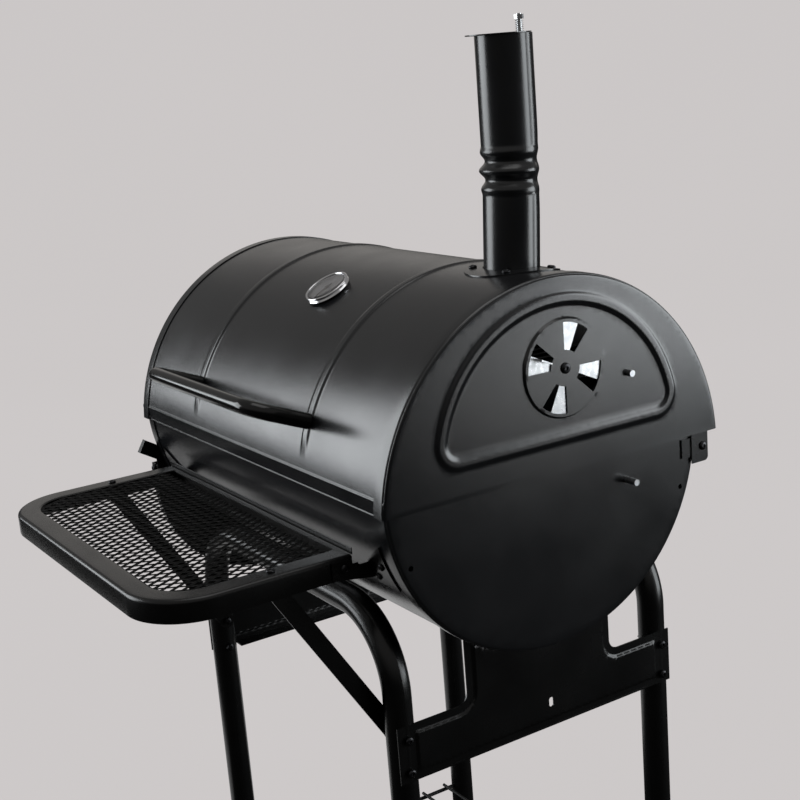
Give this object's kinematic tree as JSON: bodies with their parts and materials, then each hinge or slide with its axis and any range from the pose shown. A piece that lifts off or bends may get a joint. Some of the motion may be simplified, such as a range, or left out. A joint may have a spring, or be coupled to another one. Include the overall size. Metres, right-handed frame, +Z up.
{
  "type": "charcoal grill",
  "caption": "Barrel charcoal grill on an arched tube stand with hinged lid, chimney, front shelf, folding side table, swing-back warming rack and two wheels.",
  "frame": {"origin": "middle of the footprint's bounding box, on the floor", "axes": "+Z up, -Y towards the user and the front shelf, +X towards the end with the vent"},
  "size_m": [0.688, 0.7524, 1.322],
  "materials": {
    "powder_coat": "satin slate-black powder coat",
    "dark_coat": "satin near-black powder coat",
    "enamel_wire": "black coated wire",
    "zinc": "bright zinc plate",
    "gloss_tube": "gloss black",
    "wheel_plastic": "moulded black",
    "foot_plastic": "moulded black",
    "dial": "grey dial",
    "needle": "black",
    "bezel": "polished",
    "glass": "clear",
    "black_fasteners": "black plated"
  },
  "bodies": {
    "stand": {"body_shell": "powder_coat", "body_cap_right": "powder_coat", "body_cap_left": "powder_coat", "grate_ledges": "enamel_wire", "grate_crossbar": "enamel_wire", "pan_hangers": "dark_coat", "rack_body_studs": "zinc", "hinge_bracket_right": "dark_coat", "hinge_bracket_left": "dark_coat", "hinge_bolts": "black_fasteners", "front_arch_tube": "dark_coat", "rear_arch_tube": "dark_coat", "right_end_panel": "dark_coat", "left_end_panel": "dark_coat", "panel_bolts": "black_fasteners", "cradle_bolts": "black_fasteners", "bottom_rack": "enamel_wire", "foot_caps": "foot_plastic", "leg_plugs": "foot_plastic", "wheel_axle": "zinc", "axle_nuts": "zinc", "shelf_rim": "dark_coat", "shelf_mesh": "enamel_wire", "shelf_bracket_right": "dark_coat", "shelf_bracket_left": "dark_coat", "shelf_brace_right": "dark_coat", "shelf_brace_left": "dark_coat", "shelf_bolts": "black_fasteners", "brace_bolts": "black_fasteners", "side_table_brackets": "dark_coat", "side_table_bolts": "black_fasteners"},
    "wheel_front": {"wheel_front": "wheel_plastic"},
    "wheel_rear": {"wheel_rear": "wheel_plastic"},
    "charcoal_pan": {"charcoal_pan": "dark_coat"},
    "side_table": {"side_table": "powder_coat"},
    "grate_right": {"cooking_grate_right": "enamel_wire"},
    "grate_left": {"cooking_grate_left": "enamel_wire"},
    "lid": {"lid_shell": "powder_coat", "lid_cap_right": "powder_coat", "lid_cap_left": "powder_coat", "lid_hinge_ears": "dark_coat", "lid_rack_studs": "zinc", "vent_bolt": "black_fasteners", "handle": "gloss_tube", "handle_screws": "black_fasteners", "thermometer_case": "bezel", "thermometer_dial": "dial", "thermometer_glass": "glass", "thermometer_nut": "zinc", "chimney_flange": "powder_coat", "chimney_pipe": "powder_coat", "chimney_screws": "black_fasteners", "damper_stud": "zinc", "damper_spring": "zinc"},
    "vent_shutter": {"vent_shutter": "zinc"},
    "thermometer_needle": {"thermometer_needle": "needle"},
    "chimney_damper": {"chimney_damper": "powder_coat"},
    "rack_legs": {"warming_rack_legs": "enamel_wire"},
    "rack_shelf": {"warming_rack_shelf": "enamel_wire"}
  },
  "joints": [
    {"name": "lid_hinge", "type": "hinge", "parent": "stand", "child": "lid", "pos_m": [0, 0.33175, 0.788], "axis": [-1, 0, 0], "range_deg": [0, 85]},
    {"name": "vent_turn", "type": "hinge", "parent": "lid", "child": "vent_shutter", "pos_m": [0.331, 0.11775, 0.927], "axis": [-1, 0, 0], "range_deg": [-21, 15]},
    {"name": "needle_turn", "type": "hinge", "parent": "lid", "child": "thermometer_needle", "pos_m": [0.022, -0.00818, 1.0098], "axis": [0, -0.4695, 0.8829], "range_deg": [-130, 130]},
    {"name": "damper_swing", "type": "hinge", "parent": "lid", "child": "chimney_damper", "pos_m": [0.234, 0.15635, 1.301], "axis": [0, 0, 1], "range_deg": [0, 170]},
    {"name": "rack_leg_swing", "type": "hinge", "parent": "stand", "child": "rack_legs", "pos_m": [0, 0.20975, 0.771], "axis": [-1, 0, 0], "range_deg": [0, 85]},
    {"name": "rack_shelf_level", "type": "hinge", "parent": "rack_legs", "child": "rack_shelf", "pos_m": [0, 0.09275, 0.886], "axis": [-1, 0, 0], "range_deg": [-85, 0]},
    {"name": "side_table_fold", "type": "hinge", "parent": "stand", "child": "side_table", "pos_m": [-0.337, 0.09575, 0.724], "axis": [0, 1, 0], "range_deg": [0, 90]},
    {"name": "pan_height", "type": "slide", "parent": "stand", "child": "charcoal_pan", "axis": [0, 0, 1], "range_m": [0, 0.06]},
    {"name": "grate_right_lift", "type": "slide", "parent": "stand", "child": "grate_right", "axis": [0, 0, 1], "range_m": [0, 0.04]},
    {"name": "grate_left_lift", "type": "slide", "parent": "stand", "child": "grate_left", "axis": [0, 0, 1], "range_m": [0, 0.04]},
    {"name": "wheel_front_spin", "type": "hinge", "parent": "stand", "child": "wheel_front", "pos_m": [0.245, 0.11175, 0.07], "axis": [0, 1, 0], "continuous": true},
    {"name": "wheel_rear_spin", "type": "hinge", "parent": "stand", "child": "wheel_rear", "pos_m": [0.245, 0.11175, 0.07], "axis": [0, 1, 0], "continuous": true}
  ],
  "couplings": [
    {"joint": "rack_leg_swing", "follows": "lid_hinge", "ratio": 1},
    {"joint": "rack_shelf_level", "follows": "lid_hinge", "ratio": -1}
  ]
}
